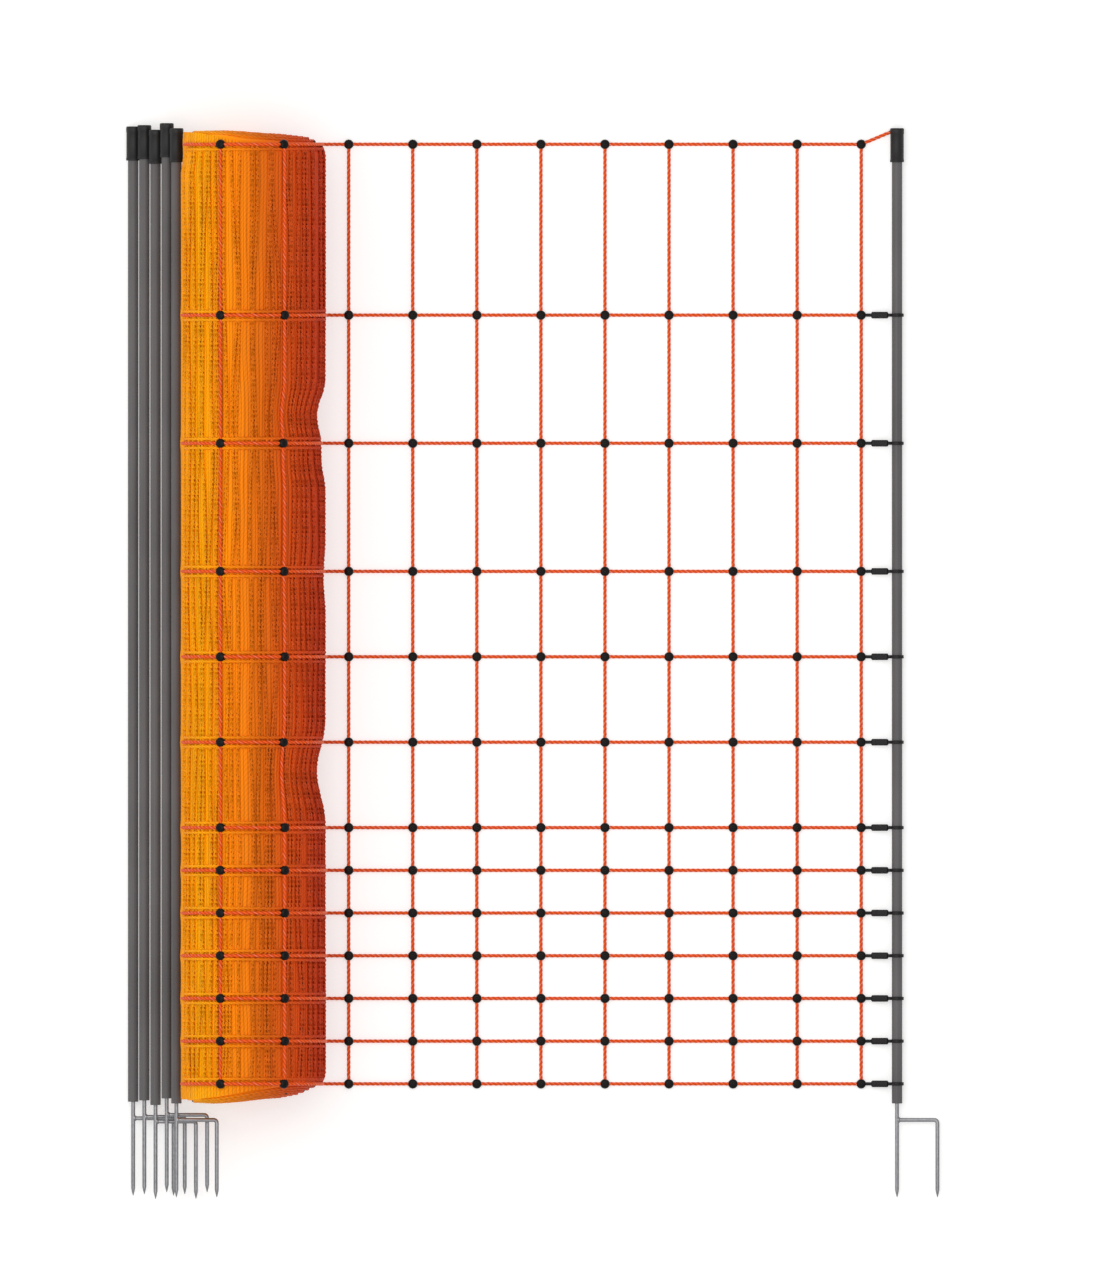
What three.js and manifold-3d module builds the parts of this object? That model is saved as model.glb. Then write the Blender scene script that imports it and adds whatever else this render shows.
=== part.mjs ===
// Electric poultry netting, partly unrolled and lying on a level floor. Lengths are in millimetres.
// +X runs along the open net, from the gathered posts to the end post.
// +Y runs up the fence, from the ground spikes to the post caps. +Z points up from the floor.
// The origin is the middle of the whole outline, on the floor.

import * as THREE from "three";
import { mergeVertices } from "three/addons/utils/BufferGeometryUtils.js";
import Module from "manifold-3d";

// Clearance left between pieces that touch
const GAP = 0.3;

// Netting. The strands lie closer together near the ground. The steps up from each strand to
// the next are multiples of the lowest one, and the list starts at the ground.
const LOWEST_ROW_SPACING = 50;
const ROW_SPACING_MULTIPLES = [1, 1, 1, 1, 1, 1, 2, 2, 2, 3, 3, 4];
const COLUMN_SPACING = 75;
const OPEN_COLUMNS = 10;
const STRAND_THICKNESS = 4.4;
const JOINT_WIDTH = 11.5;
const JOINT_THICKNESS = 7;
const JOINT_SIDES = 8;

// Roll of wound netting
const ROLL_RADIUS = 83.5;
const ROLL_BORE_DIAMETER = 46;
const ROLL_ABOVE_TOP_ROW = 15;
const ROLL_BELOW_BOTTOM_ROW = 22;
const ROLL_SHOULDER_WIDTH = 5;
const ROLL_SHOULDER_LENGTH = 9;
const ROLL_END_TURNS = 4;
const ROLL_TURN_DEPTH = 3;
const ROLL_SIDES = 28;

// Two slack places where the roll is drawn in. Each lies at a share of the height of the net and
// reaches some way towards the ground and towards the caps.
const LOWER_WAIST_SHARE = 0.3327;
const LOWER_WAIST_DEPTH = 10;
const LOWER_WAIST_REACH = 61;
const UPPER_WAIST_SHARE = 0.7118;
const UPPER_WAIST_DEPTH = 9.7;
const UPPER_WAIST_REACH_BELOW = 82;
const UPPER_WAIST_REACH_ABOVE = 42;

// Posts, with the cap that covers the head of each
const POST_DIAMETER = 12.2;
const POST_BELOW_BOTTOM_ROW = 23;
const CAP_DIAMETER = 16.5;
const CAP_LENGTH = 40;
const CAP_TOP_WALL = 3;
const CAP_EDGE = 1;
const CAP_ABOVE_TOP_ROW = 19;
const POST_SIDES = 12;

// Double ground spike of round steel rod, pushed into the foot of its post
const SPIKE_DIAMETER = 4.8;
const SPIKE_INSERTION = 60;
const SPIKE_LENGTH = 110;
const SPIKE_POINT_LENGTH = 9;
const SPIKE_SPREAD = 47.3;
const SPIKE_STEP_DROP = 19.3;
const SPIKE_BEND_RADIUS = 3.6;
const SPIKE_SIDES = 8;
const SPIKE_BEND_SIDES = 16;
const SPIKE_BEND_LAP = 0.5;

// End post, and the clips that hold the strands to it
const END_POST_DISTANCE = 42;
const CLIP_LENGTH = 20;
const CLIP_WIDTH = 7.8;
const CLIP_THICKNESS = 6;
const CLIP_CHAMFER = 1.5;
const CLIP_NECK_DIAMETER = 3.9;
const CLIP_POST_DISTANCE = 10.3;
const CLIP_BAND_WALL = 1.5;
const CLIP_BAND_WIDTH = 4;
const CLIP_NECK_SIDES = 6;
const TIE_DROP_FROM_CAP_TOP = 4.5;

// Gathered posts, lying against each other like stairs up to the roll.
// Each slope is the angle of the step from one post up to the next.
const STACK_SLOPES = [38.7, 38.7, 38.7, 47.7];
const STACK_SHIFTS = [2, 3.6, -1.8, 5.9, 0];

const COLOURS = {
  strand: 0xe0561f,
  roll: 0xd96a12,
  post: 0x676667,
  cap: 0x323232,
  clip: 0x2b2829,
  spike: 0xa9a9aa,
};

const rowHeights = ROW_SPACING_MULTIPLES.reduce(
  (heights, steps) => [...heights, heights[heights.length - 1] + steps * LOWEST_ROW_SPACING],
  [0],
);
const topRow = rowHeights[rowHeights.length - 1];
const rollWaists = [
  {
    height: LOWER_WAIST_SHARE * topRow,
    depth: LOWER_WAIST_DEPTH,
    below: LOWER_WAIST_REACH,
    above: LOWER_WAIST_REACH,
  },
  {
    height: UPPER_WAIST_SHARE * topRow,
    depth: UPPER_WAIST_DEPTH,
    below: UPPER_WAIST_REACH_BELOW,
    above: UPPER_WAIST_REACH_ABOVE,
  },
];
const capTop = topRow + CAP_ABOVE_TOP_ROW;
const postTop = capTop - CAP_TOP_WALL - GAP;
const postFoot = -POST_BELOW_BOTTOM_ROW;
const postRadius = POST_DIAMETER / 2;
const capRadius = CAP_DIAMETER / 2;
const spikeRadius = SPIKE_DIAMETER / 2;

const strandHeight = JOINT_THICKNESS / 2;
const wrapRadius = ROLL_RADIUS + STRAND_THICKNESS;
const wrapUnderside = strandHeight - STRAND_THICKNESS / 2;
const rollHeight = wrapUnderside + wrapRadius;

const wasm = await Module();
wasm.setup();

function withoutSlivers(geometry) {
  const kept = [];
  const corners = geometry.index.array;
  for (let i = 0; i < corners.length; i += 3) {
    const [a, b, c] = [corners[i], corners[i + 1], corners[i + 2]];
    if (a !== b && b !== c && c !== a) {
      kept.push(a, b, c);
    }
  }
  geometry.setIndex(kept);
  return geometry;
}

function toSolid(geometry) {
  const plain = geometry.clone();
  plain.deleteAttribute("normal");
  plain.deleteAttribute("uv");
  const merged = withoutSlivers(mergeVertices(plain, 1e-4));
  const mesh = new wasm.Mesh({
    numProp: 3,
    vertProperties: new Float32Array(merged.attributes.position.array),
    triVerts: new Uint32Array(merged.index.array),
  });
  return new wasm.Manifold(mesh);
}

function toGeometry(solid) {
  const mesh = solid.getMesh();
  const geometry = new THREE.BufferGeometry();
  geometry.setAttribute("position", new THREE.Float32BufferAttribute(mesh.vertProperties, 3));
  geometry.setIndex(new THREE.Uint32BufferAttribute(mesh.triVerts, 1));
  geometry.computeVertexNormals();
  return geometry;
}

function join(geometries) {
  return geometries.map(toSolid).reduce((whole, piece) => whole.add(piece));
}

function makeMesh(name, geometry, material) {
  const mesh = new THREE.Mesh(geometry, material);
  mesh.name = name;
  return mesh;
}

function makeMaterial(color, roughness, metalness) {
  return new THREE.MeshStandardMaterial({ color, roughness, metalness });
}

// A turned shape about the Y axis. Its profile runs anticlockwise, as radius and height pairs.
function turned(profile, sides) {
  return new THREE.LatheGeometry(profile.map(([radius, height]) => new THREE.Vector2(radius, height)), sides);
}

function roundBar(radius, from, to, sides) {
  return turned([[0, from], [radius, from], [radius, to], [0, to]], sides);
}

// Turns a shape that lies along Y so that it runs from one point to another, with its sides level
function aimed(geometry, from, to) {
  const along = to.clone().sub(from).normalize();
  const across = along.clone().cross(new THREE.Vector3(0, 0, 1)).normalize();
  const up = across.clone().cross(along);
  const turn = new THREE.Matrix4().makeBasis(across, along, up);
  return geometry.applyMatrix4(turn).translate(from.x, from.y, from.z);
}

// The places of the roll, the open net and the posts

function stackPlaces() {
  const reach = CAP_DIAMETER + GAP;
  const places = [{ x: 0, z: capRadius }];
  for (const slope of STACK_SLOPES) {
    const angle = THREE.MathUtils.degToRad(slope);
    const last = places[places.length - 1];
    places.push({ x: last.x + reach * Math.cos(angle), z: last.z + reach * Math.sin(angle) });
  }
  return places;
}

// How far from the lowest line of the roll its wrap has risen by a given height
function distanceWhereWrapClears(height) {
  const rise = wrapRadius - (height + GAP - wrapUnderside);
  return Math.sqrt(wrapRadius ** 2 - rise ** 2);
}

const stack = stackPlaces();
const upperPost = stack[stack.length - 1];
const rollContact = wrapRadius + capRadius + GAP;
const rollX = upperPost.x + Math.sqrt(rollContact ** 2 - (rollHeight - upperPost.z) ** 2);
const strandStartX = rollX + distanceWhereWrapClears(strandHeight + STRAND_THICKNESS / 2);
const firstColumnX = rollX + distanceWhereWrapClears(JOINT_THICKNESS) + JOINT_WIDTH / 2;
const lastColumnX = firstColumnX + (OPEN_COLUMNS - 1) * COLUMN_SPACING;
const endPostX = lastColumnX + END_POST_DISTANCE;

// Open net: strands fused with the joint at each crossing

function jointShape(width, thickness) {
  const cornerRadius = width / 2 / Math.cos(Math.PI / JOINT_SIDES);
  return new THREE.CylinderGeometry(cornerRadius, cornerRadius, thickness, JOINT_SIDES)
    .rotateY(Math.PI / JOINT_SIDES)
    .rotateX(Math.PI / 2);
}

function rowStrand(height) {
  const length = lastColumnX - strandStartX;
  return new THREE.BoxGeometry(length, STRAND_THICKNESS, STRAND_THICKNESS)
    .translate(strandStartX + length / 2, height, strandHeight);
}

function columnStrand(x) {
  return new THREE.BoxGeometry(STRAND_THICKNESS, topRow, STRAND_THICKNESS)
    .translate(x, topRow / 2, strandHeight);
}

// The end of the top strand, which slants up to the cap of the end post and stops at its wall
function capTie() {
  const from = new THREE.Vector3(lastColumnX, topRow, strandHeight);
  const capSide = new THREE.Vector3(endPostX - capRadius, capTop - TIE_DROP_FROM_CAP_TOP, capRadius);
  const length = from.distanceTo(capSide) + capRadius;
  const strand = new THREE.BoxGeometry(STRAND_THICKNESS, length, STRAND_THICKNESS)
    .translate(0, length / 2, 0);
  const capRoom = roundBar(capRadius + GAP, capTop - CAP_LENGTH, capTop + CAP_LENGTH, POST_SIDES)
    .translate(endPostX, 0, capRadius);
  return toSolid(aimed(strand, from, capSide)).subtract(toSolid(capRoom));
}

function openNet() {
  const columns = Array.from({ length: OPEN_COLUMNS }, (_, i) => firstColumnX + i * COLUMN_SPACING);
  const joints = rowHeights.flatMap((height) => columns.map(
    (x) => jointShape(JOINT_WIDTH, JOINT_THICKNESS).translate(x, height, strandHeight),
  ));
  const shapes = [...rowHeights.map(rowStrand), ...columns.map(columnStrand), ...joints];
  return toGeometry(join(shapes).add(capTie()));
}

// Roll: one turned solid with its bore, a raised wrap at each strand and its turns on both ends

function rollRadiusAt(height) {
  return rollWaists.reduce((radius, waist) => {
    const reach = height < waist.height ? waist.below : waist.above;
    const share = Math.min(Math.abs(height - waist.height) / reach, 1);
    return radius - waist.depth * (1 + Math.cos(Math.PI * share)) / 2;
  }, ROLL_RADIUS);
}

function wrapProfile(height) {
  const half = STRAND_THICKNESS / 2;
  const foot = height - half;
  const head = height + half;
  return [
    [rollRadiusAt(foot), foot],
    [rollRadiusAt(height) + STRAND_THICKNESS, foot],
    [rollRadiusAt(height) + STRAND_THICKNESS, head],
    [rollRadiusAt(head), head],
  ];
}

function waistProfile(waist) {
  const heights = [
    waist.height - waist.below,
    waist.height - waist.below / 2,
    waist.height,
    waist.height + waist.above / 2,
    waist.height + waist.above,
  ];
  const clear = heights.filter((height) => rowHeights.every((row) => Math.abs(row - height) > STRAND_THICKNESS));
  return clear.map((height) => [rollRadiusAt(height), height]);
}

// Ridges and grooves of the wound turns, from the bore out to the shoulder
function endTurns(height, groove) {
  const inner = ROLL_BORE_DIAMETER / 2;
  const pitch = (ROLL_RADIUS - ROLL_SHOULDER_WIDTH - inner) / ROLL_END_TURNS;
  const points = [];
  for (let turn = 0; turn < ROLL_END_TURNS; turn += 1) {
    points.push([inner + turn * pitch, height]);
    points.push([inner + (turn + 0.5) * pitch, height + groove]);
  }
  return points;
}

function rollOfNet() {
  const foot = -ROLL_BELOW_BOTTOM_ROW;
  const head = topRow + ROLL_ABOVE_TOP_ROW;
  const shoulder = ROLL_RADIUS - ROLL_SHOULDER_WIDTH;
  const side = [...rowHeights.flatMap(wrapProfile), ...rollWaists.flatMap(waistProfile)]
    .sort((a, b) => a[1] - b[1]);
  const profile = [
    ...endTurns(foot, ROLL_TURN_DEPTH),
    [shoulder, foot],
    [ROLL_RADIUS, foot + ROLL_SHOULDER_LENGTH],
    ...side,
    [ROLL_RADIUS, head - ROLL_SHOULDER_LENGTH],
    [shoulder, head],
    ...endTurns(head, -ROLL_TURN_DEPTH).reverse(),
  ];
  return turned([...profile, profile[0]], ROLL_SIDES).translate(rollX, 0, rollHeight);
}

// Post with its blind bore, cap and double spike, each about its own axis

function postBar() {
  const bore = spikeRadius + GAP;
  const boreEnd = postFoot + SPIKE_INSERTION + GAP;
  return turned([
    [0, boreEnd],
    [bore, boreEnd],
    [bore, postFoot],
    [postRadius, postFoot],
    [postRadius, postTop],
    [0, postTop],
  ], POST_SIDES);
}

function postCap() {
  const innerTop = capTop - CAP_TOP_WALL;
  const bore = postRadius + GAP;
  const rim = capTop - CAP_LENGTH;
  return turned([
    [0, innerTop],
    [bore, innerTop],
    [bore, rim],
    [capRadius - CAP_EDGE, rim],
    [capRadius, rim + CAP_EDGE],
    [capRadius, capTop - CAP_EDGE],
    [capRadius - CAP_EDGE, capTop],
    [0, capTop],
  ], POST_SIDES);
}

function spikeLeg(top) {
  const tip = postFoot - SPIKE_LENGTH;
  return turned([
    [0, tip],
    [spikeRadius, tip + SPIKE_POINT_LENGTH],
    [spikeRadius, top],
    [0, top],
  ], SPIKE_SIDES);
}

// A quarter of a ring of the rod, from the step across into the second leg, lapping into both
function spikeBend() {
  const section = Array.from({ length: SPIKE_SIDES + 1 }, (_, i) => {
    const angle = (i / SPIKE_SIDES) * 2 * Math.PI;
    return [SPIKE_BEND_RADIUS + spikeRadius * Math.cos(angle), spikeRadius * Math.sin(angle)];
  });
  const reach = 2 * (SPIKE_BEND_RADIUS + spikeRadius);
  const middle = reach / 2 - SPIKE_BEND_LAP;
  const quarter = new THREE.BoxGeometry(reach, reach, reach).translate(middle, middle, 0);
  const ring = turned(section, SPIKE_BEND_SIDES).rotateX(Math.PI / 2);
  return toSolid(ring).intersect(toSolid(quarter));
}

function doubleSpike() {
  const step = postFoot - SPIKE_STEP_DROP;
  const bendX = SPIKE_SPREAD - SPIKE_BEND_RADIUS;
  const bendY = step - SPIKE_BEND_RADIUS;
  const crossbar = roundBar(spikeRadius, 0, bendX, SPIKE_SIDES).rotateZ(-Math.PI / 2).translate(0, step, 0);
  const secondLeg = spikeLeg(bendY).translate(SPIKE_SPREAD, 0, 0);
  const straight = join([spikeLeg(postFoot + SPIKE_INSERTION), crossbar, secondLeg]);
  return toGeometry(straight.add(spikeBend().translate([bendX, bendY, 0])));
}

// Clip on the end post: a neck from the last joint, a block and a band around the post

function clipBlock(slopeLength) {
  const halfWidth = CLIP_WIDTH / 2 - CLIP_CHAMFER;
  const halfThickness = CLIP_THICKNESS / 2 - CLIP_CHAMFER;
  const outline = new THREE.Shape([
    new THREE.Vector2(-halfWidth, -halfThickness),
    new THREE.Vector2(halfWidth, -halfThickness),
    new THREE.Vector2(halfWidth, halfThickness),
    new THREE.Vector2(-halfWidth, halfThickness),
  ]);
  const block = new THREE.ExtrudeGeometry(outline, {
    depth: CLIP_LENGTH - 2 * CLIP_CHAMFER,
    steps: 1,
    bevelThickness: CLIP_CHAMFER,
    bevelSize: CLIP_CHAMFER,
    bevelSegments: 1,
  });
  const start = slopeLength - CLIP_POST_DISTANCE - CLIP_LENGTH + CLIP_CHAMFER;
  return block.rotateX(-Math.PI / 2).translate(0, start, 0);
}

function clipBand() {
  const inner = postRadius + GAP;
  const outer = inner + CLIP_BAND_WALL;
  const half = CLIP_BAND_WIDTH / 2;
  return turned([[inner, -half], [outer, -half], [outer, half], [inner, half], [inner, -half]], POST_SIDES);
}

function postClip() {
  const jointCentre = new THREE.Vector3(-END_POST_DISTANCE, 0, strandHeight - capRadius);
  const postCentre = new THREE.Vector3(0, 0, 0);
  const length = jointCentre.distanceTo(postCentre);
  const neck = roundBar(CLIP_NECK_DIAMETER / 2, 0, length, CLIP_NECK_SIDES);
  const arm = [neck, clipBlock(length)].map((shape) => aimed(shape, jointCentre, postCentre));
  const jointRoom = jointShape(JOINT_WIDTH + 2 * GAP, 2 * JOINT_THICKNESS)
    .translate(jointCentre.x, 0, jointCentre.z);
  const postRoom = roundBar(postRadius + GAP, -CLIP_WIDTH, CLIP_WIDTH, POST_SIDES);
  const clip = join([...arm, clipBand()]).subtract(toSolid(jointRoom)).subtract(toSolid(postRoom));
  return toGeometry(clip);
}

function buildPost(name, place, materials) {
  const post = new THREE.Group();
  post.add(makeMesh(name, postBar(), materials.post));
  post.add(makeMesh(`${name}_cap`, postCap(), materials.cap));
  post.add(makeMesh(`${name}_spike`, doubleSpike(), materials.spike));
  post.position.set(place.x, place.y, place.z);
  return post;
}

function buildClips(material) {
  const clips = new THREE.Group();
  rowHeights.slice(0, -1).forEach((height, i) => {
    const clip = makeMesh(`post_clip_${i + 1}`, postClip(), material);
    clip.position.set(endPostX, height, capRadius);
    clips.add(clip);
  });
  return clips;
}

function buildNetting() {
  const materials = {
    strand: makeMaterial(COLOURS.strand, 0.55, 0),
    roll: makeMaterial(COLOURS.roll, 0.65, 0),
    post: makeMaterial(COLOURS.post, 0.5, 0),
    cap: makeMaterial(COLOURS.cap, 0.45, 0),
    clip: makeMaterial(COLOURS.clip, 0.5, 0),
    spike: makeMaterial(COLOURS.spike, 0.35, 0.9),
  };
  const netting = new THREE.Group();
  netting.add(makeMesh("open_net", openNet(), materials.strand));
  netting.add(makeMesh("net_roll", rollOfNet(), materials.roll));
  netting.add(buildPost("end_post", { x: endPostX, y: 0, z: capRadius }, materials));
  stack.forEach((place, i) => {
    const name = `stacked_post_${i + 1}`;
    netting.add(buildPost(name, { x: place.x, y: STACK_SHIFTS[i], z: place.z }, materials));
  });
  netting.add(buildClips(materials.clip));
  return netting;
}

function centredOnFloor(group) {
  const bounds = new THREE.Box3().setFromObject(group);
  const middle = bounds.getCenter(new THREE.Vector3());
  group.position.set(-middle.x, -middle.y, -bounds.min.z);
  group.updateMatrixWorld(true);
  return group;
}

export default centredOnFloor(buildNetting());
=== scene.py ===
"""Electric poultry netting, partly unrolled on a pale studio floor. Metres, +Z up, +Y up the fence."""

import math

import bmesh
import bpy
from mathutils import Matrix, Vector, noise


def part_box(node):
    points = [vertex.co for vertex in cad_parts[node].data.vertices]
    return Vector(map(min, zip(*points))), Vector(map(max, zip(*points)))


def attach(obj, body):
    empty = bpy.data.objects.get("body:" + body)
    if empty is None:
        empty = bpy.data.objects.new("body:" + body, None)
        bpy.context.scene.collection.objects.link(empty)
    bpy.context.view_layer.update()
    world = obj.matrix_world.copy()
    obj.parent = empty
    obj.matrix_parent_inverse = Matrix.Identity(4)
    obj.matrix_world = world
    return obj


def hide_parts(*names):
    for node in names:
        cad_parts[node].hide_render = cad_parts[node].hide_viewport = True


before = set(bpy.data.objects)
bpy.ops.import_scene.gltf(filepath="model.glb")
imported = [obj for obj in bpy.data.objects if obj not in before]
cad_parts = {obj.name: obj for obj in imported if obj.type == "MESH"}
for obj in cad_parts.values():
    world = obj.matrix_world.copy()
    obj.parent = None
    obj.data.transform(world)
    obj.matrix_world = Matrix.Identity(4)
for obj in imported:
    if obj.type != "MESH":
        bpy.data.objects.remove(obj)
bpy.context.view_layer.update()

MM = 0.001
# Points closer than this share a place
TOUCHING = 0.01 * MM

# Netting: the strands lie closer together near the ground, and the list starts at the lowest one
ROW_SPACINGS = [50 * MM] * 6 + [100 * MM] * 3 + [150 * MM] * 2 + [200 * MM]
COLUMN_SPACING = 75 * MM
OPEN_COLUMNS = 10
END_POST_DISTANCE = 42 * MM
STRAND_DIAMETER = 4.4 * MM
JOINT_DIAMETER = 11.5 * MM
JOINT_THICKNESS = 7 * MM
TIE_DROP_FROM_CAP_TOP = 4.5 * MM
TIE_DEPTH_IN_CAP = 1 * MM

# Three plies twisted together, one full turn in each pitch
PLIES = 3
PLY_PITCH = 18 * MM
PLY_VALLEY = 0.82
PLY_STEPS = 8
SECTION_POINTS = 9
# Strands that are partly hidden have fewer
UNDER_PLY_STEPS = 5
UNDER_UPRIGHT_STEPS = 4
UNDER_POINTS = 6

# Roll of wound netting, where the drawn-in places are height, depth and reach below and above
ROLL_BORE = 23 * MM
ROLL_WAISTS = [
    (366 * MM, 10 * MM, 62 * MM, 61 * MM),
    (593 * MM, 2.3 * MM, 45 * MM, 45 * MM),
    (730 * MM, 4.5 * MM, 36 * MM, 36 * MM),
    (783 * MM, 9.7 * MM, 55 * MM, 42 * MM),
]
# How far the ends of the roll stand past the outer strands, in mm from the bore out to the rim,
# first on the side of the posts and then on the side of the open net
TOP_END = (
    [(0, 14.8), (36, 16.6), (70, 16), (83.5, 14.5)],
    [(0, 14.8), (36, 12.5), (64, 9.2), (78, 3), (81, -2.2), (83.5, -20)],
)
FOOT_END = (
    [(0, 20), (47, 23.5), (68, 22.5), (83.5, 18.3)],
    [(0, 20), (34, 16.8), (54, 12.9), (71, 5), (78, 1.2), (83.5, -3)],
)
ROLL_STEPS_ROUND = 360
ROLL_STEP_ALONG = 14 * MM
ROLL_STEPS_OUT = 44
BORE_STEPS = 6
# Rings of the mesh close to each row
ROW_STEPS = (-9 * MM, -4.5 * MM, 0, 4.5 * MM, 9 * MM)
END_STRETCH = 45 * MM

# The roll leans on the posts, takes up one cap and lets its strands in between them
POST_SIDE_FILL = 1.4 * MM
CAP_DENT = 2.8 * MM
CAP_DENT_START = 12 * MM
CAP_DENT_END = 4 * MM
PRESSED_IN = 4.4 * MM
SHOULDER_DRAW = 3.7 * MM
SHOULDER_REACH = 12 * MM

# Relief of the roll's side
LAYER_RIDGES = (78, 58)
LAYER_RELIEF = 0.9 * MM
ROW_SWELL = 0.9 * MM
ROW_SWELL_REACH = 7 * MM
# Relief given to the bore, so that the material paints shade inside it
BORE_SHADE_RELIEF = 0.3

# Strands of the turns below: places beside the outer rows, and how deep they lie
UNDER_ROW_OFFSET = 5.4 * MM
UNDER_ROW_STRAY = 1.5 * MM
UNDER_ROW_SLANT = 1.6 * MM
UNDER_ROW_SINK = 1.5 * MM
UNDER_ROW_SINK_STRAY = 0.7 * MM
UNDER_UPRIGHTS = 62
UNDER_UPRIGHT_STRAY = 1.2
UNDER_UPRIGHT_SINK = 1.5 * MM
UNDER_UPRIGHT_SINK_STRAY = 1.1 * MM
UNDER_UPRIGHT_SWAY = 0.09

# Turns on the ends of the roll
TURN_PITCH = 6.4 * MM
TURN_GROOVE = 3.2 * MM
TURN_UNEVEN = 1.2 * MM
END_TURNS = 7.4
END_SINK = 2.2 * MM
END_FADE = 4 * MM
END_JOINT_SINK = 6.4 * MM
END_JOINT_TOP = 50 * MM
FIRST_TURN_RADIUS = ROLL_BORE + TURN_PITCH / 2
LAST_TURN_RADIUS = FIRST_TURN_RADIUS + END_TURNS * TURN_PITCH
END_STRAND_LENGTH = math.pi * (LAST_TURN_RADIUS ** 2 - FIRST_TURN_RADIUS ** 2) / TURN_PITCH

# Strands beside each other around the roll's body, and how far they wander
PACKED_STRANDS = 114
PACKED_SWAY = 12 * MM
# The roll's colour across, from the posts' side to the net's side: painted light on the posts' side that
# darkens to painted shade on the net's side
ROLL_LIGHT_TO_SHADE_COLOURS = [
    (0.03, "#FF9F02"), (0.13, "#FFAB02"), (0.34, "#FF8F03"),
    (0.55, "#E5700A"), (0.79, "#DE5418"), (0.98, "#CC401E"),
]
# Where uprights of the outer turn lie, in degrees about the roll's axis, with 90 at its top
UPRIGHT_ANGLES = [64.1, 115.9, 193, 241, 286, 322]

# Posts, caps and ground spikes
FIT = 0.3 * MM
POST_CORNER = 0.5 * MM
CAP_EDGE = 1.6 * MM
CAP_TOP_WALL = 3 * MM
CAP_GRIP_DEPTH = 0.35 * MM
ROD_SIDES = 20
SPIKE_POINT = 9 * MM
SPIKE_DROP = 19.3 * MM
SPIKE_BEND = 3.6 * MM
# Widths of a spike's point halfway down and at its tip, as shares of the rod's
POINT_MIDDLE = 0.62
POINT_TIP = 0.12

# Clips on the end post
CLIP_LENGTH = 20 * MM
CLIP_WIDTH = 7.8 * MM
CLIP_THICKNESS = 6 * MM
CLIP_CORNER = 1.3 * MM
CLIP_NECK = 3.9 * MM
CLIP_POST_DISTANCE = 10.3 * MM
RIB_PLACES = (-5 * MM, -2.5 * MM, 0, 2.5 * MM, 5 * MM)
RIB_WIDTH = 1.1 * MM
RIB_HEIGHT = 0.35 * MM
SOFT_EDGE = 0.3 * MM
BAND_WALL = 1.5 * MM
BAND_WIDTH = 4 * MM
BAND_CORNER = 0.5 * MM

# The picture: a level view straight down, with this much floor for each pixel of its height
PICTURE_HEIGHT = 1280
FLOOR_PER_PIXEL = 1.1708 * MM
PICTURE_CENTRE = (25.4 * MM, 24.6 * MM)
CAMERA_HEIGHT = 3

POSTS = ["end_post"] + [f"stacked_post_{i}" for i in range(1, 6)]


# Places that come from the frame

def middle(node):
    low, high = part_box(node)
    return (low + high) / 2


def width(node):
    low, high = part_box(node)
    return high.x - low.x


ROLL_AXIS = middle("net_roll")
ROLL_RADIUS = width("net_roll") / 2 - STRAND_DIAMETER
RING_LENGTH = 2 * math.pi * (ROLL_RADIUS + STRAND_DIAMETER / 2)
PACKED_PITCH = 2 * math.pi * ROLL_RADIUS / PACKED_STRANDS
BOTTOM_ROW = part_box("open_net")[0].y + JOINT_DIAMETER / 2
ROW_HEIGHTS = [BOTTOM_ROW + sum(ROW_SPACINGS[:i]) for i in range(len(ROW_SPACINGS) + 1)]
TOP_ROW = ROW_HEIGHTS[-1]
END_AXIS = middle("end_post_cap")
LAST_COLUMN = END_AXIS.x - END_POST_DISTANCE
COLUMNS = [LAST_COLUMN - i * COLUMN_SPACING for i in reversed(range(OPEN_COLUMNS))]
STRAND_HEIGHT = JOINT_THICKNESS / 2
UPPER_CAP_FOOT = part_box("stacked_post_5_cap")[0].y
BAND_RADIUS = width("end_post") / 2 + FIT


# Mesh helpers

def new_piece(name, bm, material, nodes, sharp=40):
    mesh = pattern_mesh(name, bm)
    mesh.shade_smooth()
    mesh.set_sharp_from_angle(angle=math.radians(sharp))
    mesh.materials.append(material)
    piece = bpy.data.objects.new(name, mesh)
    bpy.context.scene.collection.objects.link(piece)
    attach(piece, "root")
    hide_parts(*nodes)
    return piece


def new_strands(name, bm, material, node):
    """Strands keep soft edges between their plies, and sharp ones only where they are cut off."""
    bmesh.ops.recalc_face_normals(bm, faces=bm.faces)
    return new_piece(name, bm, material, [node], sharp=80)


def pattern_mesh(name, bm):
    mesh = bpy.data.meshes.new(name)
    bm.to_mesh(mesh)
    bm.free()
    return mesh


def stamp(bm, pattern, matrix=Matrix.Identity(4)):
    """Adds a copy of a pattern mesh to bm, moved by matrix, and returns its vertices."""
    known = len(bm.verts)
    bm.from_mesh(pattern)
    bm.verts.ensure_lookup_table()
    added = bm.verts[known:]
    bmesh.ops.transform(bm, matrix=matrix, verts=added)
    return added


def spin_profile(bm, points, steps):
    """Turns a line of (radius, height) points once about the Y axis."""
    verts = [bm.verts.new((radius, height, 0)) for radius, height in points]
    edges = [bm.edges.new(pair) for pair in zip(verts, verts[1:])]
    bmesh.ops.spin(
        bm, geom=verts + edges, cent=(0, 0, 0), axis=(0, 1, 0), dvec=(0, 0, 0),
        angle=2 * math.pi, steps=steps, use_merge=True, use_duplicate=False,
    )
    bmesh.ops.remove_doubles(bm, verts=bm.verts, dist=0.001 * MM)
    bmesh.ops.recalc_face_normals(bm, faces=bm.faces)


def close_ends(bm):
    rims = [edge for edge in bm.edges if edge.is_boundary]
    bmesh.ops.holes_fill(bm, edges=rims, sides=0)
    bmesh.ops.recalc_face_normals(bm, faces=bm.faces)


def bevel(bm, edges, offset, segments):
    bmesh.ops.bevel(
        bm, geom=edges, offset=offset, segments=segments, profile=0.5, affect="EDGES", material=-1,
    )


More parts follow.
